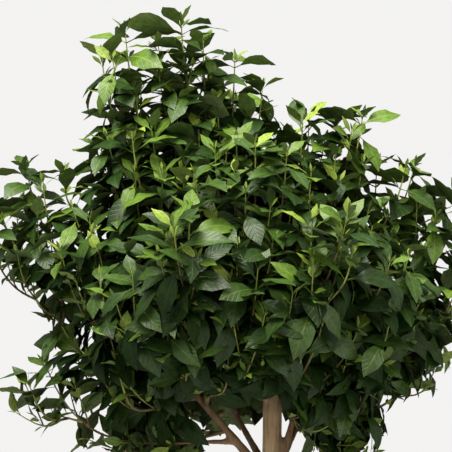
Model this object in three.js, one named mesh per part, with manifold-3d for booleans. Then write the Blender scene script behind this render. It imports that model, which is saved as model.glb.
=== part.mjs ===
// A standard (lollipop) topiary: a broad-leaved evergreen shrub on one bare stem, in a plain clay pot.
// Millimetres, +Z up, the front towards -Y. The origin is the centre of the pot's flat underside.
import * as THREE from "three";
import { mergeVertices } from "three/addons/utils/BufferGeometryUtils.js";
import Module from "manifold-3d";

const wasm = await Module();
wasm.setup();

// ---- Driving dimensions ----
const gap = 0.4; // clearance between neighbouring solids
const pot = { height: 280, topRadius: 160, baseRadius: 116, wall: 12, floor: 16, rimHeight: 44, rimStep: 8 };
const soil = { belowRim: 28, rounding: 5 };
const soilLevel = pot.height - soil.belowRim;
const clearStem = 546; // bare stem from the soil to the fork
const fork = soilLevel + clearStem;
const trunk = { footRadius: 17, topRadius: 11.5, flareRadius: 12, flareHeight: 60, leaderLength: 116, bow: 5 };
const facets = { pot: 32, trunkSides: 20, trunkSteps: 14, boughSides: 7, boughSteps: 5 };
const unevenness = 0.11; // how far a mass's surface swells and dips, as a share of its reach

const clay = new THREE.MeshStandardMaterial({ color: 0xa9603f, roughness: 0.85, metalness: 0 });
const earth = new THREE.MeshStandardMaterial({ color: 0x3a2c22, roughness: 1, metalness: 0 });
const bark = new THREE.MeshStandardMaterial({ color: 0x8a7354, roughness: 0.8, metalness: 0 });
const foliage = new THREE.MeshStandardMaterial({ color: 0x2c4a22, roughness: 0.45, metalness: 0 });

// Body masses of the crown. at: centre as [x, y, height above the fork]. size: half extents.
const bodyMasses = {
  crown_top_left: { at: [-142, -10, 376], size: [94, 90, 78] },
  crown_top_centre: { at: [-40, 22, 386], size: [84, 86, 66] },
  crown_top_right: { at: [66, -8, 350], size: [86, 86, 72] },
  crown_top_front: { at: [-36, -112, 330], size: [94, 80, 80] },
  crown_top_back: { at: [-38, 118, 330], size: [100, 82, 80] },
  crown_left: { at: [-198, -20, 262], size: [78, 90, 88] },
  crown_front_left: { at: [-118, -148, 228], size: [84, 74, 88] },
  crown_front: { at: [-8, -172, 222], size: [84, 66, 92] },
  crown_front_right: { at: [104, -132, 226], size: [80, 80, 92] },
  crown_right: { at: [146, -14, 232], size: [74, 84, 92] },
  crown_back_right: { at: [104, 116, 232], size: [82, 86, 92] },
  crown_back: { at: [-14, 168, 222], size: [84, 68, 92] },
  crown_back_left: { at: [-130, 128, 232], size: [86, 82, 92] },
};

// Masses on the crown's underside, smaller and partly hidden by the ones above.
const lowMasses = {
  crown_low_left: { at: [-166, -14, 142], size: [78, 84, 60] },
  crown_low_front: { at: [-76, -112, 158], size: [76, 72, 46] },
  crown_low_front_right: { at: [62, -92, 130], size: [66, 64, 58] },
  crown_low_right: { at: [112, 6, 140], size: [62, 72, 50] },
  crown_low_back_right: { at: [58, 106, 126], size: [70, 70, 54] },
  crown_low_back_left: { at: [-70, 102, 122], size: [74, 72, 56] },
};

// Sprays: single strong shoots that stand out of the crown. lean turns the long axis from upright towards +X.
const sprays = {
  spray_top_tall: { at: [-110, 0, 498], size: [52, 40, 64], lean: -2 },
  spray_top_left: { at: [-178, -6, 482], size: [42, 36, 74], lean: -18 },
  spray_top_middle: { at: [-44, -8, 468], size: [46, 38, 50], lean: 4 },
  spray_top_right: { at: [70, -8, 424], size: [68, 44, 34], lean: 0 },
  spray_right_high: { at: [144, 0, 374], size: [42, 36, 36], lean: 12 },
  spray_right: { at: [192, 4, 316], size: [42, 38, 50], lean: 14 },
  spray_right_side: { at: [214, -10, 236], size: [30, 42, 52], lean: 8 },
  spray_right_low: { at: [174, -8, 156], size: [28, 36, 42], lean: 168 },
  spray_low_right: { at: [86, -24, 62], size: [44, 40, 46], lean: 170 },
  spray_left_high: { at: [-266, -2, 366], size: [48, 34, 34], lean: -20 },
  spray_left: { at: [-296, -6, 290], size: [46, 42, 76], lean: -38 },
  spray_left_low: { at: [-238, -8, 184], size: [26, 36, 46], lean: 186 },
  spray_low_left: { at: [-266, -12, 112], size: [52, 44, 46], lean: -24 },
  spray_low_fringe: { at: [-152, 0, 50], size: [78, 48, 32], lean: 0 },
  spray_back_high: { at: [-70, 128, 428], size: [44, 44, 58], lean: -8 },
  spray_back_right: { at: [86, 196, 300], size: [46, 44, 54], lean: 16 },
  spray_back_left: { at: [-120, 206, 286], size: [46, 42, 54], lean: -18 },
  spray_front_left: { at: [-100, -212, 292], size: [44, 40, 50], lean: -10 },
  spray_front_right: { at: [58, -214, 288], size: [44, 38, 50], lean: 10 },
};

// Boughs: through points as [x, y, height above the fork], end radii, and the mass each one feeds.
const boughs = {
  bough_left: {
    through: [[0, 0, -4], [-24, -6, 28], [-66, -12, 78], [-104, -16, 122], [-130, -18, 156]],
    radii: [8.2, 4.4],
    into: "crown_low_left",
  },
  bough_right: {
    through: [[0, 0, 12], [15, -4, 38], [24, -8, 72], [31, -14, 100], [40, -30, 132]],
    radii: [6.4, 4.2],
    into: "crown_low_front_right",
  },
  bough_back_right: {
    through: [[0, 0, -2], [14, 14, 30], [30, 34, 62], [46, 62, 92]],
    radii: [6.8, 4.4],
    into: "crown_low_back_right",
  },
  bough_back_left: {
    through: [[0, 0, 2], [-16, 14, 32], [-34, 38, 62], [-52, 66, 92]],
    radii: [6.6, 4.4],
    into: "crown_low_back_left",
  },
  bough_low_left: {
    through: [[-42, -8, 50], [-80, -14, 50], [-140, -16, 48], [-196, -16, 56], [-232, -14, 76]],
    radii: [3.6, 2.6],
    into: "spray_low_left",
  },
  bough_front: {
    through: [[0, 0, 92], [-14, -18, 116], [-36, -46, 138], [-56, -80, 156]],
    radii: [5.6, 4],
    into: "crown_low_front",
  },
  bough_inner_right: {
    through: [[0, 0, 84], [16, 2, 108], [50, 2, 138], [88, -2, 172], [120, -6, 206]],
    radii: [6, 4],
    into: "crown_right",
  },
  bough_leader_left: {
    through: [[0, 0, 98], [-14, -2, 134], [-46, -6, 200], [-82, -8, 268], [-104, -10, 330]],
    radii: [7, 4.4],
    into: "crown_top_left",
  },
  bough_leader_right: {
    through: [[0, 0, 102], [8, 2, 140], [28, 0, 206], [52, -4, 264], [66, -6, 320]],
    radii: [7, 4.4],
    into: "crown_top_right",
  },
  bough_leader_back: {
    through: [[0, 0, 100], [-4, 16, 138], [-10, 52, 206], [-22, 88, 262], [-30, 108, 304]],
    radii: [6.6, 4.4],
    into: "crown_top_back",
  },
};

// ---- Solids ----
const v3 = (p) => new THREE.Vector3(...p);
const aboveFork = ([x, y, h]) => new THREE.Vector3(x, y, fork + h);

// Drops everything but position and merges equal vertices, which is what a closed solid needs.
function welded(geometry) {
  geometry.deleteAttribute("normal");
  geometry.deleteAttribute("uv");
  return mergeVertices(geometry, 1e-3);
}

function solidFrom(geometry) {
  const g = welded(geometry);
  return new wasm.Manifold(
    new wasm.Mesh({
      numProp: 3,
      vertProperties: new Float32Array(g.attributes.position.array),
      triVerts: new Uint32Array(g.index.array),
    }),
  );
}

// The largest body of a cut solid, so that no crumb stays beside it.
function largestBody(solid) {
  return solid.decompose().sort((a, b) => b.volume() - a.volume())[0];
}

function geometryFrom(solid) {
  const mesh = solid.getMesh();
  return new THREE.BufferGeometry()
    .setAttribute("position", new THREE.BufferAttribute(new Float32Array(mesh.vertProperties), 3))
    .setIndex(new THREE.BufferAttribute(new Uint32Array(mesh.triVerts), 1));
}

// A round profile of [radius, height] points turned about the Z axis.
function turned(profile, segments) {
  const points = profile.map(([r, z]) => new THREE.Vector2(r, z));
  return new THREE.LatheGeometry(points, segments).rotateX(Math.PI / 2);
}

// A capped cylinder bent along a curve, with its own radius at each share t of the way.
function limbGeometry(curve, radiusAt, sides, steps, ripple = () => 0) {
  const geometry = new THREE.CylinderGeometry(1, 1, 1, sides, steps);
  const frames = curve.computeFrenetFrames(steps);
  const position = geometry.attributes.position;
  for (let i = 0; i < position.count; i++) {
    const t = position.getY(i) + 0.5;
    const k = Math.round(t * steps);
    const x = position.getX(i);
    const z = position.getZ(i);
    const radius = Math.hypot(x, z) * (radiusAt(t) + ripple(t, Math.atan2(z, x)));
    const turn = Math.atan2(z, x);
    const p = curve
      .getPointAt(t)
      .addScaledVector(frames.normals[k], radius * Math.cos(turn))
      .addScaledVector(frames.binormals[k], -radius * Math.sin(turn));
    position.setXYZ(i, p.x, p.y, p.z);
  }
  return geometry;
}

// The stem: slight bow, taper, and a foot that spreads into rounded root buttresses.
function trunkSolid(extra = 0) {
  const foot = soilLevel + gap;
  const top = fork + trunk.leaderLength;
  const curve = new THREE.CatmullRomCurve3([
    new THREE.Vector3(0, 0, foot),
    new THREE.Vector3(trunk.bow, -trunk.bow / 2, foot + clearStem * 0.35),
    new THREE.Vector3(trunk.bow / 2, 0, foot + clearStem * 0.7),
    new THREE.Vector3(0, 0, fork),
    new THREE.Vector3(1, 0, top),
  ]);
  const length = top - foot;
  const buttresses = 5;
  const flareAt = (t) => trunk.flareRadius * Math.exp(-(t * length) / (trunk.flareHeight / 3));
  const taperAt = (t) => THREE.MathUtils.lerp(trunk.footRadius, trunk.topRadius, Math.pow(t, 0.7));
  const radiusAt = (t) => taperAt(t) + flareAt(t) + extra;
  const ripple = (t, turn) => 0.35 * flareAt(t) * Math.cos(buttresses * turn);
  const solid = solidFrom(limbGeometry(curve, radiusAt, facets.trunkSides, facets.trunkSteps, ripple));
  // The first ring follows the curve's slope, so the foot is cut level.
  return solid.trimByPlane([0, 0, 1], foot);
}

function boughSolid({ through, radii }, extra = 0) {
  const curve = new THREE.CatmullRomCurve3(through.map(aboveFork));
  const radiusAt = (t) => THREE.MathUtils.lerp(radii[0], radii[1], t) + extra;
  return solidFrom(limbGeometry(curve, radiusAt, facets.boughSides, facets.boughSteps));
}

// A smooth swelling between about -1 and 1 for each direction, its own for each seed.
function swelling(d, seed) {
  const a = Math.sin(3.1 * d.x + 2.3 * d.y + 1.7 * seed);
  const b = Math.sin(4.3 * d.y - 3.7 * d.z + 2.9 * seed);
  const c = Math.sin(5.1 * d.z + 4.1 * d.x + 0.7 * seed);
  return (a + b + c) / 2.2;
}

// How far an ellipsoid of these half extents, turned by lean, reaches along a direction.
function ellipsoidReach(mass, direction) {
  const lean = THREE.MathUtils.degToRad(mass.lean ?? 0);
  const d = direction.clone().applyAxisAngle(new THREE.Vector3(0, 1, 0), -lean);
  const [a, b, c] = mass.size;
  return 1 / Math.sqrt((d.x / a) ** 2 + (d.y / b) ** 2 + (d.z / c) ** 2);
}

// A mass is an uneven ellipsoid, cut flat wherever a neighbour's half of the space between them begins.
function massReach(mass, neighbours, direction, extra) {
  const swell = 1 + unevenness * swelling(direction, mass.seed);
  let reach = ellipsoidReach(mass, direction) * swell + extra;
  for (const other of neighbours) {
    const towards = other.centre.clone().sub(mass.centre);
    const distance = towards.length();
    towards.normalize();
    const facing = direction.dot(towards);
    if (facing <= 0.02) continue;
    const mine = ellipsoidReach(mass, towards);
    const theirs = ellipsoidReach(other, towards);
    const limit = (distance * mine) / (mine + theirs) - gap;
    reach = Math.min(reach, limit / facing);
  }
  return reach;
}

function massSolid(mass, neighbours, extra = 0) {
  const geometry = new THREE.IcosahedronGeometry(1, mass.detail);
  const position = geometry.attributes.position;
  for (let i = 0; i < position.count; i++) {
    const direction = new THREE.Vector3().fromBufferAttribute(position, i).normalize();
    const p = direction.clone().multiplyScalar(massReach(mass, neighbours, direction, extra)).add(mass.centre);
    position.setXYZ(i, p.x, p.y, p.z);
  }
  return solidFrom(geometry);
}

// ---- The object ----
const plant = new THREE.Group();
plant.name = "standard_topiary";

function addMesh(name, geometry, material) {
  const mesh = new THREE.Mesh(geometry, material);
  mesh.name = name;
  plant.add(mesh);
}

// Pot: tapered wall, thicker rim with a step under it, flat solid underside.
const innerTop = pot.topRadius - pot.wall - 4;
const innerBase = pot.baseRadius - pot.wall;
const underRim = pot.height - pot.rimHeight;
const wallRadiusAt = (z) => THREE.MathUtils.lerp(pot.baseRadius, pot.topRadius - pot.rimStep, z / underRim);
const innerRadiusAt = (z) => THREE.MathUtils.lerp(innerBase, innerTop, (z - pot.floor) / (pot.height - pot.floor));
const potProfile = [
  [0, 0],
  [pot.baseRadius - 3, 0],
  [pot.baseRadius, 3],
  [wallRadiusAt(underRim), underRim],
  [pot.topRadius - 2, underRim + 3],
  [pot.topRadius, pot.height - 5],
  [pot.topRadius - 4, pot.height],
  [innerTop + 3, pot.height],
  [innerTop, pot.height - 4],
  [innerBase, pot.floor],
  [0, pot.floor],
];
addMesh("pot", turned(potProfile, facets.pot), clay);

// Potting soil, filling the pot to a little below the rim.
const soilFoot = pot.floor + gap;
const soilProfile = [
  [0, soilFoot],
  [innerRadiusAt(soilFoot) - 2 * gap, soilFoot],
  [innerRadiusAt(soilLevel - soil.rounding) - 2 * gap, soilLevel - soil.rounding],
  [innerRadiusAt(soilLevel) - soil.rounding, soilLevel],
  [0, soilLevel],
];
addMesh("potting_soil", turned(soilProfile, facets.pot), earth);

// Masses with their centres, seeds and detail.
const masses = new Map();
const describe = (table, detail) =>
  Object.entries(table).forEach(([name, mass]) =>
    masses.set(name, { ...mass, centre: aboveFork(mass.at), seed: masses.size + 1, detail }),
  );
describe(bodyMasses, 3);
describe(lowMasses, 2);
describe(sprays, 1);
const neighboursOf = (mass) => [...masses.values()].filter((other) => other !== mass);

// Limbs: the stem stays whole, each later bough is cut where it meets the stem, an earlier bough or its own mass.
const limbs = new Map([["trunk", { solid: trunkSolid(), fat: trunkSolid(gap) }]]);
for (const [name, bough] of Object.entries(boughs)) {
  const target = masses.get(bough.into);
  let solid = boughSolid(bough).subtract(massSolid(target, neighboursOf(target), gap));
  for (const { fat } of limbs.values()) solid = solid.subtract(fat);
  limbs.set(name, { solid: largestBody(solid), fat: boughSolid(bough, gap), into: bough.into });
}
for (const [name, { solid }] of limbs) addMesh(name, geometryFrom(solid), bark);

for (const [name, mass] of masses) {
  let solid = massSolid(mass, neighboursOf(mass));
  for (const limb of limbs.values()) if (limb.into !== name) solid = solid.subtract(limb.fat);
  addMesh(name, geometryFrom(largestBody(solid)), foliage);
}

export default plant;
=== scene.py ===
# A standard shrub: a loose head of glossy leaves on one bare stem, standing in a round clay pot.
import math
import bpy
import bmesh
import numpy as np
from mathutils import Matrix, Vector, noise
from mathutils.bvhtree import BVHTree
from mathutils.kdtree import KDTree


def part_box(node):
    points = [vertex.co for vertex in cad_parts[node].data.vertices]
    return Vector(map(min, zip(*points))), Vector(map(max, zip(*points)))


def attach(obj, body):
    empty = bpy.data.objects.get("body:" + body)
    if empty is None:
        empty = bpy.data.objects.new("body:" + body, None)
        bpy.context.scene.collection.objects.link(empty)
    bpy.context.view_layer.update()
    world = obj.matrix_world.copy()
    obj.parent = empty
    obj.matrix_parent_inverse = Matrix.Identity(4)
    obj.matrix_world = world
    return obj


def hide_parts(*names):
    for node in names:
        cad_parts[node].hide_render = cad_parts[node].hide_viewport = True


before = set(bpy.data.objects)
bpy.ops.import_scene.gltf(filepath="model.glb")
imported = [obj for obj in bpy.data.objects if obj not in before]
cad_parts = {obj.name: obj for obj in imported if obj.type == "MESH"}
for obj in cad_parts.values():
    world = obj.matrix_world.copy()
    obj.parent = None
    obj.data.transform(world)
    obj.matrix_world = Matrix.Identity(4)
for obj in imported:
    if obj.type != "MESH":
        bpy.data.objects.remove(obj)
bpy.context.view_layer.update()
rng = np.random.default_rng(52)
mm = 0.001
up = np.array([0.0, 0.0, 1.0])
scene = bpy.context.scene
limbNames = [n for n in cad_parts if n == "trunk" or n.startswith("bough_")]
massNames = [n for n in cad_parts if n.startswith(("crown_", "spray_"))]
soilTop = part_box("potting_soil")[1].z
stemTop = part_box("trunk")[1].z


def unit(v):
    return v / np.maximum(np.linalg.norm(v, axis=-1, keepdims=True), 1e-9)


def smooth(low, high, x):
    t = np.clip((x - low) / (high - low), 0, 1)
    return t * t * (3 - 2 * t)


def link(name, mesh, *materials):
    piece = bpy.data.objects.new(name, mesh)
    scene.collection.objects.link(piece)
    for material in materials:
        mesh.materials.append(material)
    return piece


def finishPiece(piece, nodes):
    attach(piece, "root")
    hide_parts(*nodes)
    print(piece.name, len(piece.data.polygons), "faces")


def shadeSmooth(mesh):
    mesh.polygons.foreach_set("use_smooth", np.ones(len(mesh.polygons), bool))


def smoothMesh(name, shape):
    # a bmesh turned into a smooth-shaded mesh
    mesh = bpy.data.meshes.new(name)
    shape.to_mesh(mesh)
    shape.free()
    shadeSmooth(mesh)
    return mesh


def baked(piece):
    # the mesh as its curve or modifiers give it, as a plain mesh piece of the same name
    depsgraph = bpy.context.evaluated_depsgraph_get()
    mesh = bpy.data.meshes.new_from_object(piece.evaluated_get(depsgraph))
    name, old = piece.name, piece.data
    bpy.data.objects.remove(piece)
    (bpy.data.curves if isinstance(old, bpy.types.Curve) else bpy.data.meshes).remove(old)
    mesh.name = name
    return link(name, mesh)


def startMaterial(name, colour, roughness, specular=0.5):
    material = bpy.data.materials.new(name)
    material.use_nodes = True
    shader = material.node_tree.nodes["Principled BSDF"]
    shader.inputs["Base Color"].default_value = (*colour, 1)
    shader.inputs["Roughness"].default_value = roughness
    shader.inputs["Specular IOR Level"].default_value = specular
    return material, material.node_tree, shader


def feed(tree, socket, value):
    # a socket takes another node's output, or a plain value
    if isinstance(value, bpy.types.NodeSocket):
        tree.links.new(value, socket)
    else:
        socket.default_value = value


def add(tree, kind, **sockets):
    node = tree.nodes.new(kind)
    for key, value in sockets.items():
        feed(tree, node.inputs[key], value)
    return node


def objectPlace(tree):
    return tree.nodes.new("ShaderNodeTexCoord").outputs["Object"]


def maths(tree, operation, a, b=0.0):
    node = tree.nodes.new("ShaderNodeMath")
    node.operation = operation
    for socket, value in zip(node.inputs, (a, b)):
        feed(tree, socket, value)
    return node.outputs[0]


def ramp(tree, value, fromLow, fromHigh, toLow=0.0, toHigh=1.0):
    node = tree.nodes.new("ShaderNodeMapRange")
    node.interpolation_type = "SMOOTHSTEP"
    tree.links.new(value, node.inputs["Value"])
    ends = {"From Min": fromLow, "From Max": fromHigh, "To Min": toLow, "To Max": toHigh}
    for key, number in ends.items():
        node.inputs[key].default_value = number
    return node.outputs["Result"]


def blend(tree, share, first, second):
    node = tree.nodes.new("ShaderNodeMix")
    node.data_type = "RGBA"
    feed(tree, node.inputs[0], share)
    for key, colour in ((6, first), (7, second)):  # the colour sockets share their names with other kinds
        feed(tree, node.inputs[key], (*colour, 1) if isinstance(colour, tuple) else colour)
    return node.outputs[2]


def noiseOn(tree, place, scale, detail, roughness=0.5):
    sockets = {"Vector": place, "Scale": scale, "Detail": detail, "Roughness": roughness}
    return add(tree, "ShaderNodeTexNoise", **sockets).outputs["Fac"]


def stretched(tree, place, scale):
    return add(tree, "ShaderNodeMapping", Vector=place, Scale=scale).outputs[0]


def bump(tree, shader, height, strength, distance):
    node = add(tree, "ShaderNodeBump", Height=height, Strength=strength, Distance=distance)
    tree.links.new(node.outputs["Normal"], shader.inputs["Normal"])


# The blade's pattern lies on the leaf's own map, with the upper face on its left half and the underside on
# its right.
leafLook = {
    "veins": 8.0, "sweep": 2.4, "midrib": 0.045, "quilt": 0.5, "depth": 0.5 * mm,
    "topMiddle": 0.25, "underMiddle": 0.75, "halfSpan": 0.22, "acrossScale": 4.2,
}


def bladeMaterial(name, blade, vein, roughness, gloss, middle, veinShare):
    material, tree, shader = startMaterial(name, blade, roughness, gloss)
    leafMap = tree.nodes.new("ShaderNodeUVMap")
    leafMap.uv_map = "leaf"
    place = add(tree, "ShaderNodeSeparateXYZ", Vector=leafMap.outputs["UV"])
    offset = maths(tree, "SUBTRACT", place.outputs["X"], middle)
    across = maths(tree, "ABSOLUTE", maths(tree, "MULTIPLY", offset, leafLook["acrossScale"]))
    along = place.outputs["Y"]
    sweep = maths(tree, "MULTIPLY", across, leafLook["sweep"])
    phase = maths(tree, "SUBTRACT", maths(tree, "MULTIPLY", along, leafLook["veins"]), sweep)
    side = ramp(tree, maths(tree, "PINGPONG", phase, 0.5), 0.0, 0.13, 1.0, 0.0)
    side = maths(tree, "MULTIPLY", side, ramp(tree, across, 0.6, 1.0, 1.0, 0.25))
    midrib = ramp(tree, across, leafLook["midrib"] * 0.4, leafLook["midrib"] * 1.6, 1.0, 0.0)
    midrib = maths(tree, "MULTIPLY", midrib, ramp(tree, along, 0.2, 1.0, 1.0, 0.35))
    lines = maths(tree, "MAXIMUM", midrib, maths(tree, "MULTIPLY", side, veinShare))
    mottle = noiseOn(tree, leafMap.outputs["UV"], 9.0, 3.0)
    darker = tuple(c * 0.78 for c in blade)
    lighter = tuple(c * 1.22 for c in blade)
    ground = blend(tree, ramp(tree, mottle, 0.3, 0.7), darker, lighter)
    tree.links.new(blend(tree, lines, ground, vein), shader.inputs["Base Color"])
    furrows = maths(tree, "MAXIMUM", midrib, maths(tree, "MULTIPLY", side, 0.8))
    quilt = maths(tree, "SUBTRACT", maths(tree, "MULTIPLY", mottle, 0.5), furrows)
    bump(tree, shader, quilt, leafLook["quilt"], leafLook["depth"])
    return material


def linear(r, g, b):
    return tuple((c / 255 / 12.92) if c < 11 else ((c / 255 + 0.055) / 1.055) ** 2.4 for c in (r, g, b))


# in metres, with the lamps placed from the middle of the pot's foot, and their power in watts
studio = {
    "eyeAboveStem": 0.192, "aimAcross": -0.055, "distance": 2.7, "viewWidth": 0.5425,
    "backdrop": (0.90, 0.893, 0.885), "fill": (0.65, 0.66, 0.64), "floorRadius": 4.0,
    "floor": (0.4, 0.395, 0.39),
    "key": {"at": (-0.7, -1.5, 3.2), "size": 1.2, "power": 60},
    "top": {"at": (-0.3, -0.5, 3.5), "size": 1.6, "power": 116},
    "side": {"at": (2.2, -1.2, 2.0), "size": 1.4, "power": 14},
    "front": {"at": (0.5, -3.0, 0.9), "size": 2.4, "power": 10},
    "back": {"at": (0.9, 2.6, 2.0), "size": 1.6, "power": 62},
}


def areaLight(name, at, size, power, aim):
    lamp = bpy.data.lights.new(name, "AREA")
    lamp.size, lamp.energy, lamp.color = size, power, (1, 0.96, 0.88)
    holder = bpy.data.objects.new(name, lamp)
    holder.location = at
    holder.rotation_euler = (aim - Vector(at)).to_track_quat("-Z", "Y").to_euler()
    scene.collection.objects.link(holder)


def buildStudio():
    aim = Vector((studio["aimAcross"], 0, stemTop + studio["eyeAboveStem"]))
    camera = bpy.data.cameras.new("camera")
    camera.lens = camera.sensor_width * studio["distance"] / studio["viewWidth"]
    camera.clip_end = 100
    holder = bpy.data.objects.new("camera", camera)
    holder.location = aim - Vector((0, studio["distance"], 0))
    holder.rotation_euler = (math.pi / 2, 0, 0)
    scene.collection.objects.link(holder)
    scene.camera = holder
    scene.view_settings.view_transform = "Standard"

    world = bpy.data.worlds.new("studio")
    scene.world = world
    world.use_nodes = True
    tree = world.node_tree
    tree.nodes.clear()
    shown = add(tree, "ShaderNodeBackground", Color=(*studio["backdrop"], 1), Strength=1.0)
    lit = add(tree, "ShaderNodeBackground", Color=(*studio["fill"], 1), Strength=1.0)
    path = tree.nodes.new("ShaderNodeLightPath")
    mix = tree.nodes.new("ShaderNodeMixShader")
    tree.links.new(path.outputs["Is Camera Ray"], mix.inputs[0])
    tree.links.new(lit.outputs[0], mix.inputs[1])
    tree.links.new(shown.outputs[0], mix.inputs[2])
    tree.links.new(mix.outputs[0], add(tree, "ShaderNodeOutputWorld").inputs["Surface"])

    floorMesh = bpy.data.meshes.new("floor")
    shape = bmesh.new()
    bmesh.ops.create_circle(shape, cap_ends=True, segments=96, radius=studio["floorRadius"])
    shape.to_mesh(floorMesh)
    shape.free()
    material = startMaterial("paleFloor", studio["floor"], 0.9, 0.1)[0]
    link("floor", floorMesh, material)
    for place in ("key", "top", "side", "front", "back"):
        areaLight(place + "Light", aim=aim, **studio[place])
    print("studio ready")


def trianglesOf(node):
    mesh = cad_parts[node].data
    mesh.calc_loop_triangles()
    points = np.empty(len(mesh.vertices) * 3, np.float32)
    corners = np.empty(len(mesh.loop_triangles) * 3, np.int32)
    mesh.vertices.foreach_get("co", points)
    mesh.loop_triangles.foreach_get("vertices", corners)
    return points.reshape(-1, 3).astype(float), corners.reshape(-1, 3)


def limbCourse(node, cuts, axis=None):
    # centres and radii of even cross cuts of the CAD limb, from the end nearest the stem's foot
    points, corners = trianglesOf(node)
    start = points[np.argmin(points[:, 2] + 0.5 * np.linalg.norm(points[:, :2], axis=1))]
    far = points[np.argmax(np.linalg.norm(points - start, axis=1))]
    axis = unit(far - start) if axis is None else axis
    depth = points @ axis
    ends = np.concatenate([corners[:, [0, 1]], corners[:, [1, 2]], corners[:, [2, 0]]])
    centres, radii = [], []
    for share in np.linspace(0.04, 0.97, cuts):
        level = depth.min() + share * np.ptp(depth)
        a, b = depth[ends[:, 0]], depth[ends[:, 1]]
        crossing = ends[(a < level) != (b < level)]
        a, b = depth[crossing[:, 0]], depth[crossing[:, 1]]
        t = ((level - a) / (b - a))[:, None]
        ring = points[crossing[:, 0]] * (1 - t) + points[crossing[:, 1]] * t
        centre = (ring.min(0) + ring.max(0)) / 2
        centres.append(centre)
        radii.append(np.linalg.norm(ring - centre, axis=1).mean())
    return np.array(centres), np.array(radii)


def travelled(points):
    # the way along a course to each of its points
    return np.concatenate([[0], np.cumsum(np.linalg.norm(np.diff(points, axis=0), axis=1))])


def resample(points, radii, step):
    # a smooth curve through the points, at even steps
    points = np.vstack([2 * points[0] - points[1], points, 2 * points[-1] - points[-2]])
    fine, thick = [], []
    for i in range(1, len(points) - 2):
        p0, p1, p2, p3 = points[i - 1 : i + 3]
        count = max(2, int(np.linalg.norm(p2 - p1) / step))
        for t in np.arange(count) / count:
            fine.append(
                0.5 * (2 * p1 + (p2 - p0) * t + (2 * p0 - 5 * p1 + 4 * p2 - p3) * t**2
                       + (3 * p1 - p0 - 3 * p2 + p3) * t**3)
            )
            thick.append(radii[i - 1] * (1 - t) + radii[i] * t)
    fine.append(points[-2])
    thick.append(radii[-1])
    return np.array(fine), np.array(thick)


def strandsPiece(name, strands, roundness):
    # many tapering stems as one piece: strands holds (points, radii)
    curve = bpy.data.curves.new(name, "CURVE")
    curve.dimensions = "3D"
    curve.bevel_depth = 1.0
    curve.bevel_resolution = roundness
    curve.use_fill_caps = True
    for points, radii in strands:
        spline = curve.splines.new("POLY")
        spline.points.add(len(points) - 1)
        spline.points.foreach_set("co", np.column_stack([points, np.ones(len(points))]).ravel())
        spline.points.foreach_set("radius", np.asarray(radii, float))
    piece = bpy.data.objects.new(name, curve)
    scene.collection.objects.link(piece)
    return baked(piece)


limbLook = {
    "voxel": 2.1 * mm, "step": 6 * mm, "cuts": 16, "boughCuts": 8, "reachBack": 7 * mm, "below": 4 * mm,
    "slimmer": 0.78, "collar": 0.4, "collarLength": 16 * mm, "buttress": 3.0 * mm, "buttresses": 5,
    "ridge": 0.45 * mm, "knots": 7, "knotSize": 5 * mm, "knotRise": 1.6 * mm,
    "knotsFrom": 80 * mm, "fork": 120 * mm, "flare": 20 * mm, "stemRadius": 0.013, "stretch": 0.88,
    "ridgeScales": (330, 760), "swellScale": 38, "young": (0.6, 0.14), "smooths": 3, "soften": 14,
}


def courses():
    # every limb's course, each bough led back into the stem with a swelling collar
    found, look = {}, limbLook
    for node in limbNames:
        if node == "trunk":
            points, radii = limbCourse(node, look["cuts"], up)
            foot, top = [*points[0][:2], soilTop - look["below"]], [*points[-1][:2], stemTop - 2 * mm]
            radii = np.concatenate([radii[:1], radii, radii[-1:] * 0.86])
            found[node] = resample(np.vstack([foot, points, top]), radii, look["step"])
            continue
        points, radii = limbCourse(node, look["boughCuts"])
        points, radii = resample(points, radii, look["step"])
        collar = look["collar"] * np.exp(-travelled(points) / look["collarLength"])
        radii = radii * (look["slimmer"] + collar)
        back = points[0] - unit(points[1] - points[0]) * look["reachBack"]
        found[node] = (np.vstack([back, points]), np.concatenate([radii[:1], radii]))
    return found


def barkMaterial():
    material, tree, shader = startMaterial("bark", linear(128, 112, 92), 0.72, 0.3)
    place = objectPlace(tree)
    long = stretched(tree, place, (1, 1, 0.16))
    flat = stretched(tree, place, (1, 1, 4.0))
    streaks = noiseOn(tree, long, 260.0, 5.0, 0.62)
    cloud = noiseOn(tree, place, 34.0, 3.0)
    pores = add(tree, "ShaderNodeTexVoronoi", Vector=flat, Scale=95.0)
    age = add(tree, "ShaderNodeAttribute")
    age.attribute_name = "youth"
    old = blend(tree, ramp(tree, cloud, 0.38, 0.66), linear(184, 158, 124), linear(152, 122, 88))
    young = blend(tree, ramp(tree, cloud, 0.4, 0.64), linear(98, 66, 40), linear(84, 66, 40))
    ground = blend(tree, age.outputs["Fac"], old, young)
    grain = ramp(tree, streaks, 0.3, 0.6)
    worn = blend(tree, grain, linear(90, 68, 46), linear(202, 176, 138))
    dark = blend(tree, ramp(tree, age.outputs["Fac"], 0.0, 1.0, 0.35, 0.16), ground, worn)
    spots = ramp(tree, pores.outputs["Distance"], 0.08, 0.16, 0.6, 0.0)
    pored = blend(tree, maths(tree, "MULTIPLY", spots, 0.55), dark, linear(176, 160, 134))
    tree.links.new(pored, shader.inputs["Base Color"])
    height = maths(tree, "ADD", streaks, maths(tree, "MULTIPLY", spots, 0.5))
    bump(tree, shader, height, 0.7, 0.5 * mm)
    return material


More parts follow.
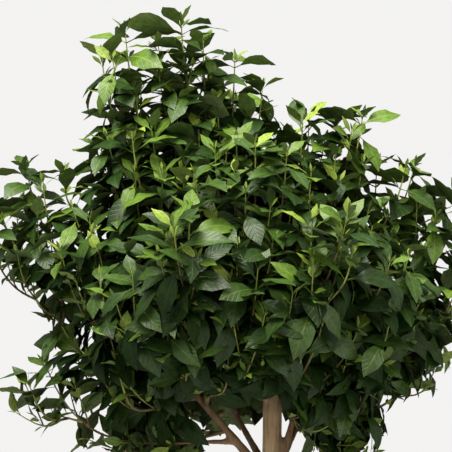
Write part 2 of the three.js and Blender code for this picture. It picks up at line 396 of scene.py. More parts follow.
def buildWood(limbs, bark):
    look, strands = limbLook, list(limbs.values())
    wood = strandsPiece("stemAndBoughs", strands, 6)
    remesh = wood.modifiers.new("oneSkin", "REMESH")
    remesh.mode, remesh.voxel_size = "VOXEL", look["voxel"]
    wood = baked(wood)
    shape = bmesh.new()
    shape.from_mesh(wood.data)
    for _ in range(look["smooths"]):
        bmesh.ops.smooth_vert(
            shape, verts=shape.verts, factor=0.5, use_axis_x=True, use_axis_y=True, use_axis_z=True)
    bmesh.ops.recalc_face_normals(shape, faces=shape.faces)
    shape.to_mesh(wood.data)
    shape.free()

    # relief: long ridges along each limb, healed knots on the stem, buttresses at its foot
    tree = KDTree(sum(len(points) for points, _ in strands))
    alongs, youths = [], []
    youngest, perPoint = look["young"]
    for name, (points, _) in limbs.items():
        along = np.gradient(points, axis=0)
        for i, point in enumerate(points):
            tree.insert(point, len(alongs))
            alongs.append(unit(along[i]))
            youths.append(0.0 if name == "trunk" else min(1.0, youngest + perPoint * i))
    tree.balance()
    foot, fork = soilTop, stemTop - look["fork"]
    knots = [
        (rng.uniform(foot + look["knotsFrom"], fork), rng.uniform(0, 2 * math.pi), rng.uniform(0.7, 1.2))
        for _ in range(look["knots"])
    ]
    fine, finer = look["ridgeScales"]
    youth = np.zeros(len(wood.data.vertices), np.float32)
    moved = np.empty((len(wood.data.vertices), 3))
    for i, vertex in enumerate(wood.data.vertices):
        centre, nearest, _ = tree.find(vertex.co)
        along = alongs[nearest]
        youth[i] = youths[nearest]
        p = np.array(vertex.co)
        squeezed = Vector(p - along * (p @ along) * look["stretch"])
        ridge = noise.noise(squeezed * fine) * 0.6 + noise.noise(squeezed * finer) * 0.4
        swell = noise.noise(Vector(p) * look["swellScale"]) * 0.5
        rise = look["ridge"] * (ridge + swell)
        if youths[nearest] == 0.0:
            turn = math.atan2(p[1] - centre.y, p[0] - centre.x)
            low = math.exp(-(p[2] - foot) / look["flare"])
            rise += look["buttress"] * low * math.cos(look["buttresses"] * turn + 0.6)
            for height, facing, scale in knots:
                off = math.remainder(turn - facing, 2 * math.pi) * look["stemRadius"]
                away = math.hypot(p[2] - height, off) / (look["knotSize"] * scale)
                lump = math.exp(-away**2) - 0.75 * math.exp(-(away * 2.6) ** 2)  # a ring round a hollow
                rise += look["knotRise"] * scale * lump
        moved[i] = p + np.array(vertex.normal) * rise
    # the young bark passes softly into the old
    pairs = np.empty(len(wood.data.edges) * 2, np.int32)
    wood.data.edges.foreach_get("vertices", pairs)
    pairs = pairs.reshape(-1, 2)
    degree = np.bincount(pairs.ravel(), minlength=len(youth))
    for _ in range(look["soften"]):
        total = np.bincount(pairs[:, 0], youth[pairs[:, 1]], len(youth))
        total += np.bincount(pairs[:, 1], youth[pairs[:, 0]], len(youth))
        youth = (total / np.maximum(degree, 1)).astype(np.float32)
    wood.data.vertices.foreach_set("co", moved.ravel())
    wood.data.attributes.new("youth", "FLOAT", "POINT").data.foreach_set("value", youth)
    shadeSmooth(wood.data)
    wood.data.materials.append(bark)
    wood.data.update()
    finishPiece(wood, limbNames)


shootRule = {
    "spacing": 34.5 * mm, "innerSpacing": 58 * mm, "leaderSpacing": 40 * mm, "trials": 14,
    "sideInset": 15 * mm, "topInset": 7 * mm, "lowInset": 2 * mm, "leaderInset": 7 * mm,
    "sprayInset": 10 * mm, "innerInset": 30 * mm, "length": (90 * mm, 140 * mm), "innerShare": 0.75,
    "rise": 1.1, "wander": 0.16, "clear": 60 * mm, "stray": 7 * mm, "lowest": -0.35, "heart": 30 * mm,
    "steps": 9, "least": 4,
}


def massMeshes():
    points, corners, owners, start = [], [], [], 0
    for k, name in enumerate(massNames):
        p, c = trianglesOf(name)
        points.append(p)
        corners.append(c + start)
        owners += [k] * len(c)
        start += len(p)
    return np.vstack(points), np.vstack(corners), np.array(owners)


massPoints, massCorners, massOwners = massMeshes()
massTree = BVHTree.FromPolygons(massPoints.tolist(), massCorners.tolist())


def standsOut(point):
    # how far a point is outside the masses
    near, normal, _, far = massTree.find_nearest(Vector(point))
    return far if (Vector(point) - near).dot(normal) > 0 else 0.0


def scatterShoots():
    # tips spread evenly over the outside of the masses, and thinly where two masses meet
    points, corners, owners = massPoints, massCorners, massOwners
    a, b, c = (points[corners[:, i]] for i in range(3))
    cross = np.cross(b - a, c - a)
    area = np.linalg.norm(cross, axis=1) / 2
    heart = np.array([*((points.min(0) + points.max(0)) / 2)[:2], stemTop + shootRule["heart"]])
    tips, spans, kinds = [], [], []

    def tryTip(tip, spacing, normal, kind):
        if tips:
            away = np.linalg.norm(np.array(tips) - tip, axis=1)
            if (away < np.minimum(spacing, np.array(spans))).any():
                return
        tips.append(tip)
        spans.append(spacing)
        kinds.append((normal, kind))

    for k, name in enumerate(massNames):
        if name.startswith("spray_"):
            own = points[np.unique(corners[owners == k])]
            far = own[np.argmax(np.linalg.norm(own - heart, axis=1))]
            tip = far + unit(heart - far) * shootRule["leaderInset"]
            tryTip(tip, shootRule["leaderSpacing"], unit(far - heart), "leader")
    count = int(area.sum() / shootRule["spacing"] ** 2 * shootRule["trials"])
    picks = rng.choice(len(area), count, p=area / area.sum())
    u, v = np.sqrt(rng.random(count)), rng.random(count)
    where = a[picks] * (1 - u)[:, None] + b[picks] * (u * (1 - v))[:, None] + c[picks] * (u * v)[:, None]
    normals = unit(cross[picks])
    for spot, normal, face in zip(where, normals, picks):
        hit = massTree.ray_cast(Vector(spot + normal * 1.5 * mm), Vector(normal), shootRule["clear"])
        spray = massNames[owners[face]].startswith("spray_")
        if hit[0] is None:
            high = smooth(0.1, 0.9, normal[2])
            inset = shootRule["sideInset"] * (1 - high) + shootRule["topInset"] * high
            inset = shootRule["sprayInset"] if spray else inset * rng.uniform(0.5, 1.5)
            inset += shootRule["lowInset"] * smooth(0.1, -0.8, normal[2])
            spacing = shootRule["spacing"] * (1.05 if spray else 1)
            tryTip(spot - normal * inset, spacing, normal, "spray" if spray else "outer")
        elif not spray:
            tryTip(spot - normal * shootRule["innerInset"], shootRule["innerSpacing"], normal, "inner")
    found = [kind for _, kind in kinds]
    print("shoots", len(tips), {kind: found.count(kind) for kind in sorted(set(found))})
    return np.array(tips), kinds, heart


def shootCourse(tip, outward, length, rise, wander):
    # the shoot's axis from base to tip, turning upwards as it grows
    first = unit(outward + up * rise * 0.4 + wander)
    last = unit(outward * (1 - 0.5 * min(rise, 1.2)) + up * rise * 1.5 + wander * 0.6)
    steps = shootRule["steps"]
    points = [tip]
    for i in range(steps, 0, -1):
        share = (i - 0.5) / steps
        points.append(points[-1] - unit(first * (1 - share) + last * share) * length / steps)
    return np.array(points[::-1])


def growShoots():
    tips, kinds, heart = scatterShoots()
    shoots = []
    for tip, (normal, kind) in zip(tips, kinds):
        outward = unit(unit(tip - heart) + 0.5 * normal)
        outward = unit(outward * [1, 1, 0] + up * max(outward[2], shootRule["lowest"]))
        low, high = shootRule["length"]
        length = rng.uniform(low, high) * (shootRule["innerShare"] if kind == "inner" else 1)
        rise = shootRule["rise"] * smooth(-0.75, 0.1, outward[2]) * rng.uniform(0.7, 1.25)
        wander = rng.normal(0, shootRule["wander"], 3) * (0.5 if kind == "leader" else 1)
        course = shootCourse(tip, outward, length, rise, wander)
        first = len(course) - shootRule["least"]
        while first > 0 and standsOut(course[first - 1]) < shootRule["stray"]:
            first -= 1
        shoots.append({
            "course": course[first:], "kind": kind, "outward": outward,
            "vigour": rng.uniform(0.82, 1.12), "flush": rng.random(),
        })
    return shoots


branchRule = {
    "step": 14 * mm, "tip": 1.7 * mm, "power": 2.35, "turn": 0.9, "meet": 0.6, "haul": 0.12, "clean": 0.5,
    "near": 8 * mm, "nearCost": 50 * mm, "pulls": (0.6, 0.3, 0.1), "pullCost": 0.002, "lean": 0.7,
    "ease": 3, "tipLoad": 0.35, "thinner": 0.92, "taper": (0.55, 50 * mm),
}


def thickenStems(shoots, spots, parents, caps):
    # a stem is as thick as what it carries, thinner than the one it grows on, and tapers to its tip
    rule = branchRule
    load = np.zeros(len(spots))
    thin = rule["tip"] ** rule["power"] * rule["tipLoad"]
    for shoot in shoots:
        load[shoot["chain"][-1]] = thin
    for i in range(len(spots) - 1, -1, -1):
        if parents[i] >= 0:
            load[i] = max(load[i], thin)
            load[parents[i]] += load[i]
    thickness = load ** (1 / rule["power"])
    for shoot in shoots:
        chain = shoot["chain"]
        radii = thickness[chain].copy()
        root = caps[chain[0]]
        radii[0] = radii[1]
        ceiling = (root if root is not None else thickness[chain[0]]) * rule["thinner"]
        radii = np.minimum(radii, ceiling)
        shoot["path"] = spots[chain]
        back = np.linalg.norm(shoot["path"] - shoot["path"][-1], axis=1)
        finest, over = rule["taper"]
        shoot["radii"] = radii * np.interp(back, [0, over], [finest, 1])


def joinShoots(shoots, limbs):
    # each shoot reaches back to the wood that it can join with the shortest, straightest twig
    rule = branchRule
    spots, heads, parents, hauls, caps = [], [], [], [], []
    for name, (points, radii) in limbs.items():
        along = unit(np.gradient(points, axis=0))
        for i in range(len(points)):
            if name == "trunk" or i < rule["clean"] * len(points):
                continue
            spots.append(points[i])
            heads.append(along[i])
            parents.append(-1)
            hauls.append(0.0)
            caps.append(radii[i])
    order = np.argsort([np.linalg.norm(np.array(spots) - s["course"][0], axis=1).min() for s in shoots])
    for k in order:
        shoot = shoots[k]
        base, heading = shoot["course"][0], unit(shoot["course"][1] - shoot["course"][0])
        at, head = np.array(spots), np.array(heads)
        gap = base - at
        far = np.linalg.norm(gap, axis=1)
        way = gap / np.maximum(far, 1e-6)[:, None]
        turning = rule["turn"] * (1 - (way * head).sum(1)) + rule["meet"] * (1 - way @ heading)
        cost = far * (1 + turning) + rule["haul"] * np.array(hauls)
        cost += rule["nearCost"] * (far < rule["near"])
        j = int(np.argmin(cost))
        reach = far[j]
        count = max(3, math.ceil(reach / rule["step"]))
        t = np.linspace(0, 1, count + 1)[1:, None]
        h1, h2, h3, h4 = 2 * t**3 - 3 * t**2 + 1, t**3 - 2 * t**2 + t, 3 * t**2 - 2 * t**3, t**3 - t**2
        heading = unit(heading + rule["lean"] * way[j])
        ways = []
        for pull in rule["pulls"]:
            twig = h1 * at[j] + h2 * head[j] * reach * pull + h3 * base + h4 * heading * reach * pull
            ways.append((sum(standsOut(p) for p in twig), pull, twig))
        twig = min(ways, key=lambda choice: choice[0] + rule["pullCost"] * (1 - choice[1]))[2]
        path = np.vstack([at[j], twig, shoot["course"][1:]])
        for _ in range(rule["ease"]):
            path[1:-1] = 0.5 * path[1:-1] + 0.25 * (path[:-2] + path[2:])
        parent = j
        shoot["chain"] = [j]
        for i in range(1, len(path)):
            spots.append(path[i])
            heads.append(unit(path[min(i + 1, len(path) - 1)] - path[i - 1]))
            parents.append(parent)
            hauls.append(hauls[parent] + np.linalg.norm(path[i] - path[i - 1]))
            caps.append(None)
            parent = len(spots) - 1
            shoot["chain"].append(parent)
    thickenStems(shoots, np.array(spots), parents, caps)
    return shoots


leafForm = {
    "rows": 10, "columns": 3, "petiole": 0.14, "length": (54 * mm, 71 * mm), "width": (0.19, 0.235),
    "teeth": 0.035, "thickness": 0.3 * mm, "fullness": 1.12,
    "ripple": 0.1, "ripples": 17, "arch": 0.22, "stalk": 0.085, "point": 0.012,
    "smallUnder": 24 * mm, "smallRows": 6, "perPiece": 2500,
}
toneNames = ["deep", "dark", "mid", "fresh", "young"]

# What a shoot carries, from its tip down: how far each pair of leaves is from the last one in millimetres,
# its size against a full leaf, the angle at which it leaves the stem, how far it arches over, and its tone.
habits = {
    "resting": {
        "gap": [2, 4, 10, 15, 17, 18, 19, 20, 20], "size": [0.24, 0.58, 0.96, 1, 1, 1, 1, 1, 1],
        "open": [20, 34, 42, 50, 58, 66, 72, 76, 80], "arch": [10, 30, 48, 58, 62, 60, 56, 50, 46],
        "tone": [4, 3, 2, 2, 1, 1, 0, 0, 0],
    },
    "growing": {
        "gap": [2, 4, 9, 14, 19, 20, 20, 20, 20], "size": [0.24, 0.42, 0.7, 0.92, 1, 1, 1, 1, 1],
        "open": [18, 28, 38, 46, 56, 64, 70, 76, 80], "arch": [8, 22, 38, 50, 60, 62, 56, 50, 46],
        "tone": [4, 4, 3, 2, 2, 1, 1, 0, 0],
    },
    "leading": {
        "gap": [2, 3, 4, 8, 17, 19, 20, 20, 20], "size": [0.22, 0.42, 0.86, 1.06, 1.1, 1.1, 1.1, 1, 1],
        "open": [18, 34, 50, 54, 60, 66, 72, 76, 80], "arch": [10, 30, 44, 58, 62, 60, 56, 50, 46],
        "tone": [4, 3, 2, 2, 2, 1, 1, 0, 0],
    },
}
# chances, shares and sizes for all habits, with the fold in degrees and sideSize in millimetres
habitRule = {
    "growing": 0.17, "sideGrowth": (0.24, 0.6), "roll": 0.26, "hang": 0.42, "outer": 0.5, "free": 0.62,
    "missing": 0.12, "fold": (8, 28), "sideSize": (11, 25), "sideWidth": 0.19, "sideYoung": 0.4,
    # the heights over the stem's top across which leaf tones turn lighter, and the chances of a lighter or
    # darker tone there: partly fresher growth in the sun, partly painted light on the top of the head and
    # painted shade on its lower face
    "sunAndPaintedLightFrom": 60 * mm, "sunAndPaintedLightFull": 380 * mm, "lighter": (0.06, 0.5), "darker": (0.6, 0.55),
    "reach": {"leader": 0.18, "spray": 0.14, "outer": 0.15, "inner": 0.11},
}


def stationsOf(shoot, habit):
    # where the leaf pairs stand on the shoot, from its tip back, and which way its stem points there
    path = shoot["path"]
    marks = travelled(path)
    total = marks[-1]
    limit = min(habitRule["reach"][shoot["kind"]] * shoot["vigour"], total - 6 * mm)
    places, back = [], 0.0

    def at(distance):
        return np.array([np.interp(distance, marks, path[:, i]) for i in range(3)])

    for gap in habit["gap"]:
        back += gap * mm * shoot["vigour"] * rng.uniform(0.85, 1.15)
        if back > limit:
            break
        here = total - back
        places.append((at(here), unit(at(min(here + 4 * mm, total)) - at(here - 4 * mm))))
    return places


leafKeys = (
    "base", "way", "face", "length", "width", "bend", "fold", "twist", "tone", "leads", "shoot", "pair",
)


def dressShoots(shoots):
    rule, lighter, darker = habitRule, habitRule["lighter"], habitRule["darker"]
    leaves = {key: [] for key in leafKeys}

    def put(*values):
        for key, value in zip(leaves, values):
            leaves[key].append(value)

    for number, shoot in enumerate(shoots):
        inner = shoot["kind"] == "inner"
        growing = shoot["flush"] < rule["growing"] and not inner
        leads = float(shoot["kind"] == "leader")
        leading = leads and shoot["outward"][2] > 0.6
        habit = habits["leading" if leading else "growing" if growing else "resting"]
        turn = rng.uniform(0, 2 * math.pi) if shoot["kind"] != "leader" else rng.normal(0, 0.3)
        shoot["pairs"] = stationsOf(shoot, habit)
        for i, (point, stem) in enumerate(shoot["pairs"]):
            side = unit(np.cross(stem, [0.1, 1.0, 0.1] if abs(stem[1]) < 0.8 else [1.0, 0.2, 0.0]))
            other = np.cross(stem, side)
            # tones turn lighter higher up and darker lower down: partly fresher growth in the sun, partly
            # painted light on the top of the head and painted shade on its lower face; spray and leader
            # shoots get at least the free share
            sunAndPaintedLight = smooth(stemTop + rule["sunAndPaintedLightFrom"], stemTop + rule["sunAndPaintedLightFull"], point[2])
            sunAndPaintedLight = max(sunAndPaintedLight, rule["free"]) if shoot["kind"] in ("spray", "leader") else sunAndPaintedLight
            turn += math.pi / 2 + rng.normal(0, 0.18)
            for half in (0, math.pi):
                if i > 4 and rng.random() < rule["missing"]:
                    continue
                angle = turn + half + rng.normal(0, 0.14)
                radial = side * math.cos(angle) + other * math.sin(angle)
                spread = math.radians(habit["open"][i]) + rng.normal(0, 0.13)
                hang = rng.uniform(0, 0.22) + rule["hang"] * smooth(2, 6, i) * (1 - leads)
                way = unit(stem * math.cos(spread) + radial * math.sin(spread) - up * hang)
                outer = shoot["outward"] * (0.35 + rule["outer"] * smooth(1, 5, i))
                face = stem - way * (stem @ way) + (up * 0.35 + outer) * habit["size"][i]
                roll = np.cross(way, unit(face)) * rng.normal(0, rule["roll"] * (1 + leads))
                face = unit(face) + roll + rng.normal(0, 0.12, 3)
                length = rng.uniform(*leafForm["length"]) * habit["size"][i] * shoot["vigour"]
                tone = habit["tone"][i] + int(rng.random() < lighter[0] + lighter[1] * sunAndPaintedLight)
                tone -= int(rng.random() < darker[0] - darker[1] * sunAndPaintedLight) * (i > 0)
                tone = min(max(tone - (1 if inner else 0), 0), 4)
                width = rng.uniform(*leafForm["width"]) * (0.7 if i == 0 else 1)
                bend = math.radians(habit["arch"][i] * rng.uniform(0.6, 1.3))
                fold = math.radians(rng.uniform(*rule["fold"]))
                twist = rng.normal(0, 0.25)
                put(point, way, face, length, width, bend, fold, twist, tone, leads, number, i)
                if 2 <= i <= 6 and not inner and rng.random() < rule["sideGrowth"][growing]:
                    # a short side shoot in the leaf's axil
                    lean = math.radians(rng.uniform(20, 38))
                    small = unit(stem * math.cos(lean) + radial * math.sin(lean))
                    full = rng.uniform(*rule["sideSize"]) * mm
                    for wing in (-1, 1):
                        tilt = unit(small + np.cross(stem, radial) * wing * rng.uniform(0.25, 0.6))
                        length = full * rng.uniform(0.8, 1.1)
                        tone = 4 if rng.random() < rule["sideYoung"] else 3
                        bend, fold = math.radians(30), math.radians(24)
                        put(point + radial * 1.2 * mm, tilt, stem * 0.4 - radial, length,
                            rule["sideWidth"], bend, fold, 0.0, tone, leads, number, i)
    return {key: np.array(value) for key, value in leaves.items()}


def midlines(pick, t):
    # each leaf's axes, and its midline at the shares t of its length: a curve that arches over and down
    way = unit(pick["way"])
    face = unit(pick["face"] - way * (pick["face"] * way).sum(1, keepdims=True))
    droop = pick["bend"][:, None] * ((t[1:] + t[:-1]) / 2)[None, :] ** 0.9
    step = (np.diff(t)[None, :] * pick["length"][:, None])[..., None]
    droop = droop[..., None]
    forward = step * np.cos(droop) * way[:, None, :] - step * np.sin(droop) * face[:, None, :]
    ahead = np.concatenate([np.zeros((len(way), 1, 3)), np.cumsum(forward, axis=1)], axis=1)
    return way, face, pick["base"][:, None, :] + ahead


# How far a leaf's middle and tip may stand out of the masses, how it hangs if it stands out further,
# and the space that is kept clear before the fork.
trimRule = {
    "middle": 9 * mm, "tip": 20 * mm, "leader": 6 * mm, "top": 12 * mm, "topFrom": 0.1, "topFull": 0.35,
    "hang": 0.9, "fold": 0.6, "shorter": 0.88, "forkDepth": 120 * mm, "bare": -16 * mm, "beside": 17 * mm,
    "above": 12 * mm, "fewest": 5,
}


def trimLeaves(leaves, limbs):
    # the head keeps the outline and the gaps of its masses, and nothing hangs in front of its fork
    steps = np.linspace(0, 1, 9)
    _, _, lines = midlines(leaves, steps)
    rule = trimRule
    hanging = {
        **leaves, "way": unit(leaves["way"] - up * rule["hang"]),
        "face": leaves["face"] + leaves["way"] * rule["fold"],
        "length": leaves["length"] * rule["shorter"],
    }
    _, _, droops = midlines(hanging, steps)
    fork = np.vstack([points for points, _ in (limbs["trunk"], limbs["bough_left"])])
    fork = fork[(fork[:, 2] > stemTop - rule["forkDepth"]) & (fork[:, 2] < stemTop + rule["bare"])]
    kept = []
    for i, line in enumerate(lines):
        high = smooth(stemTop + rule["topFrom"], stemTop + rule["topFull"], line[0][2])
        extra = (rule["leader"] + rule["top"] * high) * leaves["leads"][i]
        middle, tip = rule["middle"] + extra, rule["tip"] + extra

        def fits(course):
            return standsOut(course[5]) < middle and standsOut(course[8]) < tip

        if not fits(line):
            if leaves["pair"][i] < 2 or not fits(droops[i]):
                continue
            line = droops[i]
            for key in ("way", "face", "length"):
                leaves[key][i] = hanging[key][i]
        off = np.abs(line[2:, None] - fork[None])
        before = (off[..., 0] < rule["beside"]) & (off[..., 2] < rule["above"])
        if (before & (line[2:, None, 1] < fork[None, :, 1])).any():
            continue
        kept.append(i)
    return {key: value[kept] for key, value in leaves.items()}


def trimShoots(shoots, leaves):
    # a shoot ends at its topmost leaf, unless another shoot grows on from further up
    needed = {shoot["chain"][0] for shoot in shoots}
    bare = set()
    for number, shoot in enumerate(shoots):
        own = leaves["pair"][leaves["shoot"] == number]
        if len(own) < trimRule["fewest"] and not needed.intersection(shoot["chain"][1:]):
            bare.add(number)
            continue
        if len(own) and own.min() == 0:
            continue
        chain, path, last = shoot["chain"], shoot["path"], 0
        if len(own):
            topmost = shoot["pairs"][int(own.min())][0]
            last = int(np.argmin(np.linalg.norm(path - topmost, axis=1)))
        while last < len(path) - 1 and any(spot in needed for spot in chain[last + 1 :]):
            last += 1
        shoot["path"], shoot["radii"] = path[: last + 1], shoot["radii"][: last + 1]
    kept = np.array([number not in bare for number in leaves["shoot"]])
    dressed = [shoot for number, shoot in enumerate(shoots) if number not in bare]
    dressed = [shoot for shoot in dressed if len(shoot["path"]) > 1]
    return dressed, {key: value[kept] for key, value in leaves.items()}


def leafOutline(form):
    # where a leaf's rows lie along it, from its stalk to its tip, and its half width at each
    even = np.linspace(0, 1, form["rows"] - 1)
    blade = np.concatenate([[0], even - 0.1 * np.sin(2 * math.pi * even) / 2])
    t = form["petiole"] + blade * (1 - form["petiole"])
    t[0] = 0
    outline = np.maximum(np.sin(math.pi * blade**0.95), 0) ** form["fullness"]
    waves = np.where(blade > 0.2, (-1.0) ** np.arange(form["rows"]), 0)
    outline = outline / outline.max() * (1 + form["teeth"] * waves)
    return t, np.maximum(outline, form["stalk"] * (1 - t) + form["point"])


def netTriangles(index, flip):
    # the same diagonals on both faces, mirrored at the midrib
    a, b, c, d = index[:-1, :-1], index[:-1, 1:], index[1:, 1:], index[1:, :-1]
    columns = index.shape[1]
    left = (np.arange(columns - 1) < (columns - 1) / 2)[None, :, None]
    first = np.where(left, np.stack([a, b, d], -1), np.stack([a, b, c], -1))
    second = np.where(left, np.stack([b, c, d], -1), np.stack([a, c, d], -1))
    corners = np.concatenate([first.reshape(-1, 3), second.reshape(-1, 3)])
    return corners[:, ::-1] if flip else corners


def leafPiece(name, leaves, which, form, top, under):
    rows, columns = form["rows"], form["columns"]
    pick = {key: value[which] for key, value in leaves.items()}
    count = len(which)
    t, outline = leafOutline(form)
    across = np.linspace(-1, 1, columns)
    way, face, line = midlines(pick, t)
    side = np.cross(way, face)
    angle = pick["bend"][:, None] * t[None, :] ** 0.9
    lift = np.sin(angle)[..., None] * way[:, None, :] + np.cos(angle)[..., None] * face[:, None, :]
    roll = (pick["twist"][:, None] * t[None, :])[..., None]
    sideAt = side[:, None, :] * np.cos(roll) + lift * np.sin(roll)
    liftAt = lift * np.cos(roll) - side[:, None, :] * np.sin(roll)
    half = outline[None, :] * (pick["width"] * pick["length"])[:, None]
    start = 6.28 * (pick["length"] * 977 % 1)  # each leaf's waves start at a place of their own
    ripple = np.sin(t * form["ripples"] + start[:, None]) * form["ripple"]
    fold = pick["fold"][:, None]  # both halves of the blade rise from the midrib
    out = half * np.cos(fold)
    rise = half * (np.sin(fold) + ripple)
    arch = half * form["arch"]
    grid = line[:, :, None, :] + (out[..., None] * across)[..., None] * sideAt[:, :, None, :]
    height = rise[..., None] * np.abs(across) - arch[..., None] * across**2
    grid = grid + height[..., None] * liftAt[:, :, None, :]
    thick = (form["thickness"] / 2) * liftAt[:, :, None, :]
    inner = np.zeros((rows, columns), bool)
    inner[1:-1, 1:-1] = True
    topGrid = grid + thick * inner[None, :, :, None]
    underGrid = grid[:, 1:-1, 1:-1] - thick[:, 1:-1]
    points = np.concatenate([topGrid.reshape(count, -1, 3), underGrid.reshape(count, -1, 3)], axis=1)
    each = points.shape[1]
    upper = np.arange(rows * columns).reshape(rows, columns)
    lower = upper.copy()
    within = np.arange((rows - 2) * (columns - 2)).reshape(rows - 2, columns - 2)
    lower[1:-1, 1:-1] = rows * columns + within
    faces = np.concatenate([netTriangles(upper, False), netTriangles(lower, True)])
    u, v = np.meshgrid(across, t)
    # the map keeps the leaf's own proportions, so the veins run straight
    spread = np.stack([u * outline[:, None] * leafLook["halfSpan"], 0.02 + v * 0.96], -1).reshape(-1, 2)
    upperMap, lowerMap = np.zeros((each, 2)), np.zeros((each, 2))
    upperMap[upper.ravel()] = spread + [leafLook["topMiddle"], 0]
    lowerMap[lower.ravel()] = spread + [leafLook["underMiddle"], 0]
    topFaces = len(faces) // 2
    uv = np.concatenate([upperMap[faces[:topFaces]], lowerMap[faces[topFaces:]]]).reshape(-1, 2)

    mesh = bpy.data.meshes.new(name)
    mesh.vertices.add(count * each)
    mesh.vertices.foreach_set("co", points.ravel())
    loops = (faces.ravel()[None, :] + (np.arange(count) * each)[:, None]).ravel()
    mesh.loops.add(len(loops))
    mesh.loops.foreach_set("vertex_index", loops.astype(np.int32))
    total = count * len(faces)
    mesh.polygons.add(total)
    mesh.polygons.foreach_set("loop_start", np.arange(total, dtype=np.int32) * 3)
    underside = (np.arange(len(faces)) >= topFaces).astype(np.int32)
    mesh.polygons.foreach_set("material_index", np.tile(underside, count))
    shadeSmooth(mesh)
    for layer in ("leaf", "OFBake"):
        everyUv = np.tile(uv.ravel(), count).astype(np.float32)
        mesh.uv_layers.new(name=layer).data.foreach_set("uv", everyUv)
    mesh.update(calc_edges=True)
    rim = np.zeros(each, bool)
    rim[upper[~inner]] = True
    ends = np.empty(len(mesh.edges) * 2, np.int32)
    mesh.edges.foreach_get("vertices", ends)
    onRim = rim[ends.reshape(-1, 2) % each].all(1)
    mesh.attributes.new("sharp_edge", "BOOLEAN", "EDGE").data.foreach_set("value", onRim)
    mesh.validate()
    return link(name, mesh, top, under)


# each tone's blade and vein colours, and the blade's roughness and gloss
leafColours = {
    "deep": ((32, 52, 19), (48, 70, 29), 0.34, 0.12),
    "dark": ((41, 64, 24), (64, 87, 37), 0.33, 0.26),
    "mid": ((58, 84, 31), (90, 115, 46), 0.36, 0.34),
    "fresh": ((88, 118, 38), (130, 152, 60), 0.4, 0.36),
    "young": ((130, 154, 50), (174, 190, 86), 0.45, 0.36),
}


def buildLeaves(leaves):
    limit = leafForm["perPiece"]
    for k, tone in enumerate(toneNames):
        blade, vein, roughness, gloss = leafColours[tone]
        blade, vein = linear(*blade), linear(*vein)
        top = bladeMaterial(tone + "Blade", blade, vein, roughness, gloss, leafLook["topMiddle"], 0.25)
        pale = tuple(0.55 * a + 0.45 * b for a, b in zip(blade, linear(138, 158, 100)))
        under = bladeMaterial(tone + "Underside", pale, vein, 0.6, 0.3, leafLook["underMiddle"], 0.5)
        which = np.flatnonzero(leaves["tone"] == k)
        small = leaves["length"][which] < leafForm["smallUnder"]
        for size, chosen, form in (
            ("", which[~small], leafForm),
            ("Small", which[small], {**leafForm, "rows": leafForm["smallRows"], "teeth": 0}),
        ):
            for part in range(math.ceil(len(chosen) / limit)):
                share = chosen[part::math.ceil(len(chosen) / limit)]
                name = f"leaves{tone.capitalize()}{size}{part + 1 if len(chosen) > limit else ''}"
                piece = leafPiece(name, leaves, share, form, top, under)
                piece.shadow_terminator_shading_offset = 0.4  # smooth shade on blades of few faces
                piece.shadow_terminator_geometry_offset = 0.3
                finishPiece(piece, massNames)


def stemMaterial(name, first, second, roughness):
    material, tree, shader = startMaterial(name, first, roughness, 0.4)
    place = objectPlace(tree)
    patches = noiseOn(tree, place, 120.0, 3.0)
    colour = blend(tree, ramp(tree, patches, 0.35, 0.65), first, second)
    tree.links.new(colour, shader.inputs["Base Color"])
    bump(tree, shader, patches, 0.4, 0.3 * mm)
    return material


twigAges = (7, 4)  # how many points back from its tip a stem turns ripe, and green


def buildTwigs(shoots):
    brown = stemMaterial("twigBark", linear(76, 62, 42), linear(100, 88, 56), 0.7)
    olive = stemMaterial("ripeningStem", linear(100, 98, 48), linear(112, 98, 56), 0.55)
    green = stemMaterial("greenStem", linear(112, 132, 48), linear(138, 144, 62), 0.45)
    ages = {"twigs": (brown, []), "ripeningShoots": (olive, []), "greenShoots": (green, [])}
    for shoot in shoots:
        path, radii = shoot["path"], shoot["radii"]
        ripe, young = (max(1, len(path) - count) for count in twigAges)
        spans = {"twigs": (0, ripe), "ripeningShoots": (ripe, young), "greenShoots": (young, len(path))}
        for name, (start, end) in spans.items():
            if end > start and start < len(path) - 1:
                ages[name][1].append((path[start : end + 1], radii[start : end + 1]))
    for name, (material, strands) in ages.items():
        piece = strandsPiece(name, strands, 1)
        piece.data.materials.clear()
        piece.data.materials.append(material)
        shadeSmooth(piece.data)
        finishPiece(piece, massNames)


potLook = {
    "wall": 12 * mm, "rim": 44 * mm, "step": 8 * mm, "footRadius": 116 * mm, "floor": 16 * mm,
    "rounding": 2 * mm, "around": 96,
}


def spun(name, profile, around):
    shape = bmesh.new()
    verts = [shape.verts.new((r, 0, z)) for r, z in profile]
    edges = [shape.edges.new(pair) for pair in zip(verts, verts[1:])]
    bmesh.ops.spin(shape, geom=verts + edges, cent=(0, 0, 0), axis=(0, 0, 1), angle=2 * math.pi,
                   steps=around, use_merge=True, use_duplicate=False)
    bmesh.ops.remove_doubles(shape, verts=shape.verts, dist=1e-6)
    bmesh.ops.recalc_face_normals(shape, faces=shape.faces)
    return shape


def clayMaterial():
    material, tree, shader = startMaterial("clay", linear(176, 104, 74), 0.82, 0.25)
    place = objectPlace(tree)
    clouds = noiseOn(tree, stretched(tree, place, (1, 1, 2.4)), 7.0, 6.0, 0.6)
    grain = noiseOn(tree, place, 420.0, 3.0)
    rings = noiseOn(tree, stretched(tree, place, (2, 2, 190)), 1.0, 4.0)
    bloom = noiseOn(tree, place, 11.0, 8.0, 0.7)
    ground = blend(tree, ramp(tree, clouds, 0.35, 0.65), linear(166, 94, 66), linear(190, 120, 88))
    ground = blend(tree, ramp(tree, bloom, 0.58, 0.74, 0.0, 0.5), ground, linear(214, 190, 170))
    ground = blend(tree, ramp(tree, grain, 0.62, 0.8, 0.0, 0.35), ground, linear(120, 66, 46))
    tree.links.new(ground, shader.inputs["Base Color"])
    height = maths(tree, "ADD", grain, maths(tree, "MULTIPLY", rings, 1.6))
    bump(tree, shader, height, 0.5, 0.4 * mm)
    return material


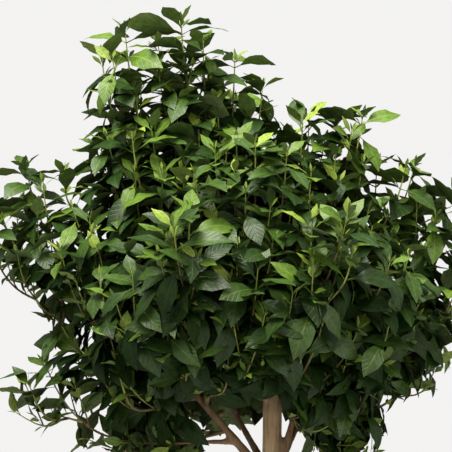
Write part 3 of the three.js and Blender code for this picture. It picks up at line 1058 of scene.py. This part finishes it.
def buildPot():
    high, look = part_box("pot")[1], potLook
    top, outer = high.z, high.x
    inner, innerFoot = outer - look["wall"] - 4 * mm, look["footRadius"] - look["wall"]
    underRim = top - look["rim"]
    profile = [
        (0, 0), (look["footRadius"], 0), (outer - look["step"], underRim),
        (outer - 2 * mm, underRim + 3 * mm), (outer, top - 5 * mm),
        (outer - 3 * mm, top), (inner + 2 * mm, top), (inner, top - 4 * mm),
        (innerFoot, look["floor"]), (0, look["floor"]),
    ]
    shape = spun("clayPot", profile, look["around"])
    sharp = [e for e in shape.edges if len(e.link_faces) == 2 and e.calc_face_angle() > math.radians(20)]
    bmesh.ops.bevel(shape, geom=sharp, offset=look["rounding"], segments=3, profile=0.5, affect="EDGES",
                    material=-1, clamp_overlap=True)
    pot = link("clayPot", smoothMesh("clayPot", shape), clayMaterial())
    finishPiece(pot, ["pot"])


soilLook = {
    "rings": 60, "around": 180, "lump": 2.6 * mm, "crumb": 1.2 * mm, "dip": 4 * mm, "mound": 2.5 * mm,
    "moundWidth": 50 * mm, "pieces": 420, "size": (2 * mm, 6 * mm), "spread": 0.95,
}


def soilMaterial():
    material, tree, shader = startMaterial("pottingMix", linear(52, 38, 28), 0.95, 0.2)
    place = objectPlace(tree)
    crumbs = noiseOn(tree, place, 160.0, 6.0, 0.7)
    flecks = add(tree, "ShaderNodeTexVoronoi", Vector=place, Scale=240.0)
    damp = ramp(tree, crumbs, 0.36, 0.66)
    ground = blend(tree, damp, linear(30, 22, 17), linear(82, 62, 45))
    specks = ramp(tree, flecks.outputs["Distance"], 0.08, 0.13, 0.7, 0.0)
    tree.links.new(blend(tree, specks, ground, linear(142, 120, 92)), shader.inputs["Base Color"])
    bump(tree, shader, crumbs, 0.9, 1.5 * mm)
    return material


def buildSoil():
    low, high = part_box("potting_soil")
    radius, top, look = high.x, high.z, soilLook
    profile = [(radius * (i / look["rings"]), top) for i in range(look["rings"] + 1)]
    profile += [
        (radius * 0.99, top - 12 * mm), (radius * 0.9, top - 60 * mm), (radius * 0.74, low.z), (0, low.z),
    ]
    shape = spun("soil", profile, look["around"])
    for vert in shape.verts:
        if vert.co.z > top - 1 * mm:
            away = Vector((vert.co.x, vert.co.y)).length
            edge = 1 - smooth(0.93, 1.0, away / radius)
            lift = noise.noise(vert.co * 32) * look["lump"] + noise.noise(vert.co * 230) * look["crumb"]
            mound = look["mound"] * math.exp(-(away / look["moundWidth"]) ** 2)
            vert.co.z += lift * edge - look["dip"] * (1 - edge) + mound
    mesh = smoothMesh("soil", shape)
    earth = soilMaterial()
    finishPiece(link("soil", mesh, earth), ["potting_soil"])

    # loose crumbs and chips on top
    shape = bmesh.new()
    bmesh.ops.create_icosphere(shape, subdivisions=1, radius=1)
    crumb = np.array([v.co[:] for v in shape.verts])
    corners = np.array([[v.index for v in f.verts] for f in shape.faces])
    shape.free()
    points, faces = [], []
    for i in range(look["pieces"]):
        half = rng.uniform(*look["size"]) * 0.5
        size = half * np.array([rng.uniform(0.8, 1.7), rng.uniform(0.7, 1.1), rng.uniform(0.35, 0.8)])
        turn = rng.uniform(0, 2 * math.pi)
        away = radius * look["spread"] * math.sqrt(rng.uniform(0.05, 1))
        spin = rng.uniform(0, math.pi)
        turned = crumb * (1 + rng.normal(0, 0.12, (len(crumb), 1))) * size
        turned = np.column_stack([
            turned[:, 0] * math.cos(spin) - turned[:, 1] * math.sin(spin),
            turned[:, 0] * math.sin(spin) + turned[:, 1] * math.cos(spin), turned[:, 2]])
        points.append(turned + [away * math.cos(turn), away * math.sin(turn), top + 0.6 * mm])
        faces.append(corners + i * len(crumb))
    mesh = bpy.data.meshes.new("soilCrumbs")
    mesh.from_pydata(np.vstack(points).tolist(), [], np.vstack(faces).tolist())
    mesh.update()
    finishPiece(link("soilCrumbs", mesh, earth), ["potting_soil"])


buildStudio()
buildPot()
buildSoil()
limbs = courses()
buildWood(limbs, barkMaterial())
shoots = joinShoots(growShoots(), limbs)
leaves = trimLeaves(dressShoots(shoots), limbs)
shoots, leaves = trimShoots(shoots, leaves)
buildTwigs(shoots)
print("leaves", len(leaves["tone"]), dict(zip(toneNames, np.bincount(leaves["tone"]).tolist())))
buildLeaves(leaves)
